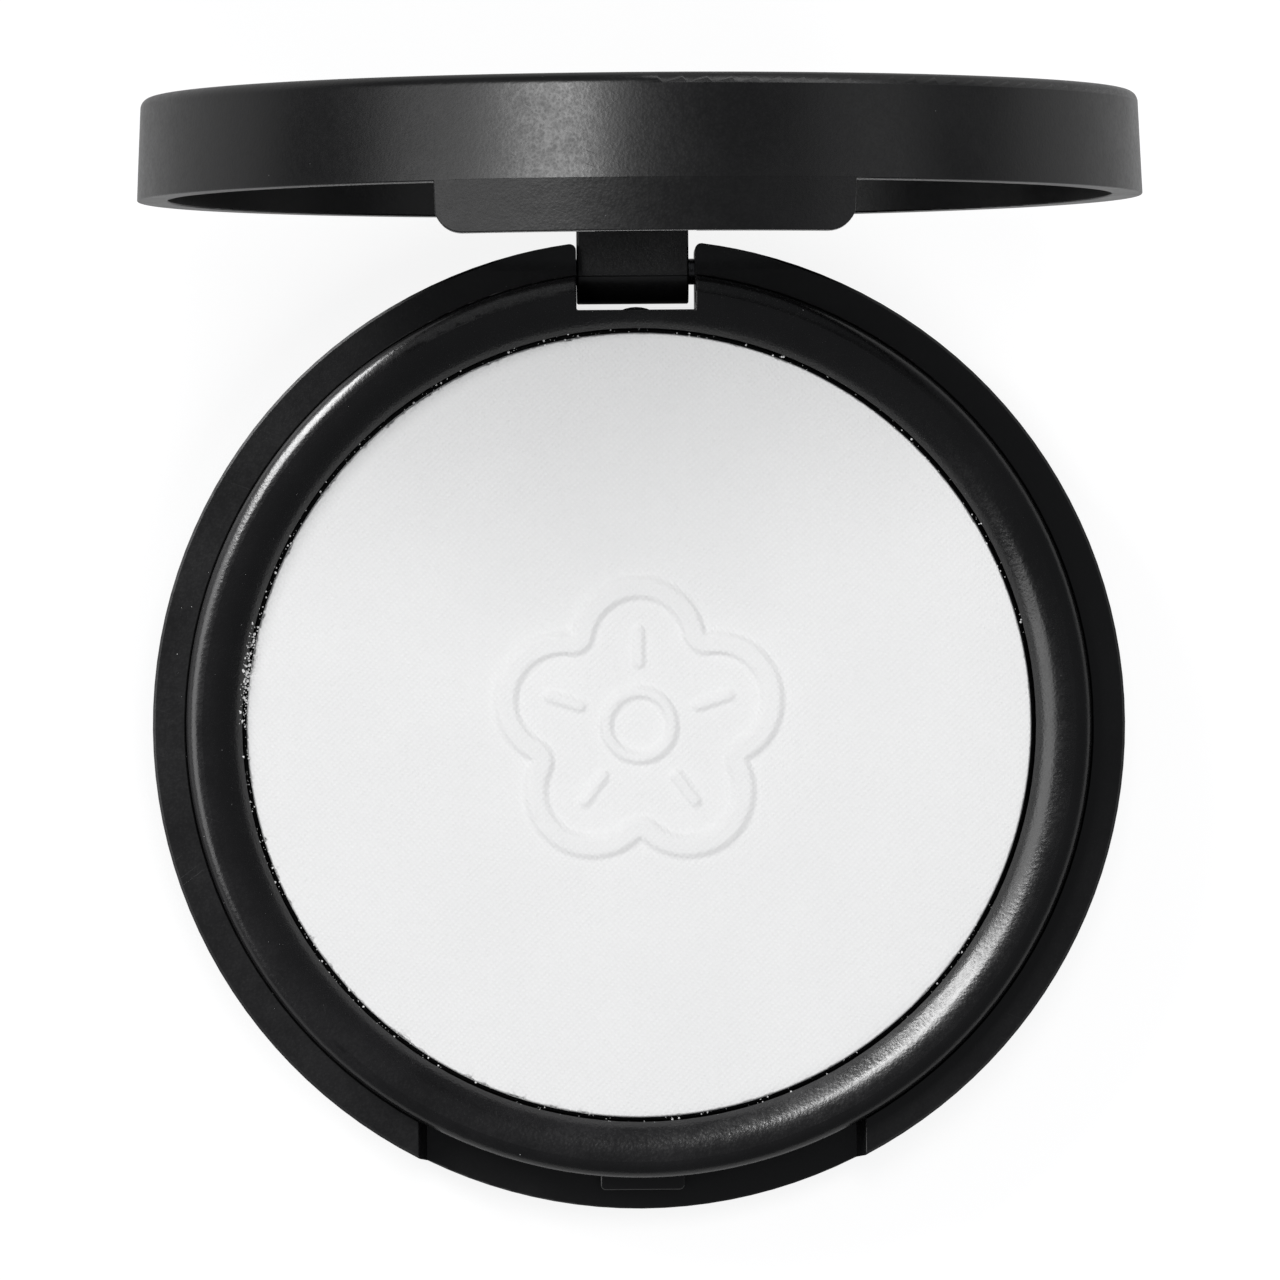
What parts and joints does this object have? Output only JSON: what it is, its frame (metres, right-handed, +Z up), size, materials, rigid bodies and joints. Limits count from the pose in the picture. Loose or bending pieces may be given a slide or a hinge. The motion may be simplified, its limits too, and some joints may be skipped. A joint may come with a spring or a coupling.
{
  "type": "powder compact",
  "caption": "Round pressed-powder compact: hinged lid with a mirror inside, rounded bead round a pan of white powder, thumb tab in front.",
  "frame": {"origin": "centre of the base's flat underside", "axes": "+Z up out of the powder, +Y from the thumb tab's recess towards the hinge, +X to the right along the hinge pin; the lid stands open, upright behind the base"},
  "size_m": [0.074, 0.0834, 0.0754],
  "materials": {
    "case_black": "satin black moulded plastic",
    "bead_black": "fine-grained satin black moulded plastic",
    "adhesive": "double-sided foam tape",
    "pan_aluminium": "pressed bare aluminium",
    "pressed_powder": "white pressed powder with a fine cloth imprint",
    "pin_steel": "drawn steel wire",
    "label_film": "blank matt label",
    "mirror_glass": "silvered glass"
  },
  "bodies": {
    "base": {"base_shell": "case_black", "pan_tray": "bead_black", "pan_adhesive": "adhesive", "powder_pan": "pan_aluminium", "powder_cake": "pressed_powder", "hinge_pin": "pin_steel", "base_label": "label_film"},
    "lid": {"lid_shell": "case_black", "mirror": "mirror_glass", "mirror_adhesive": "adhesive"}
  },
  "joints": [
    {"name": "lid_hinge", "type": "hinge", "parent": "base", "child": "lid", "pos_m": [0, 0.0346, 0.0038], "axis": [1, 0, 0], "range_deg": [-9, 90]}
  ]
}
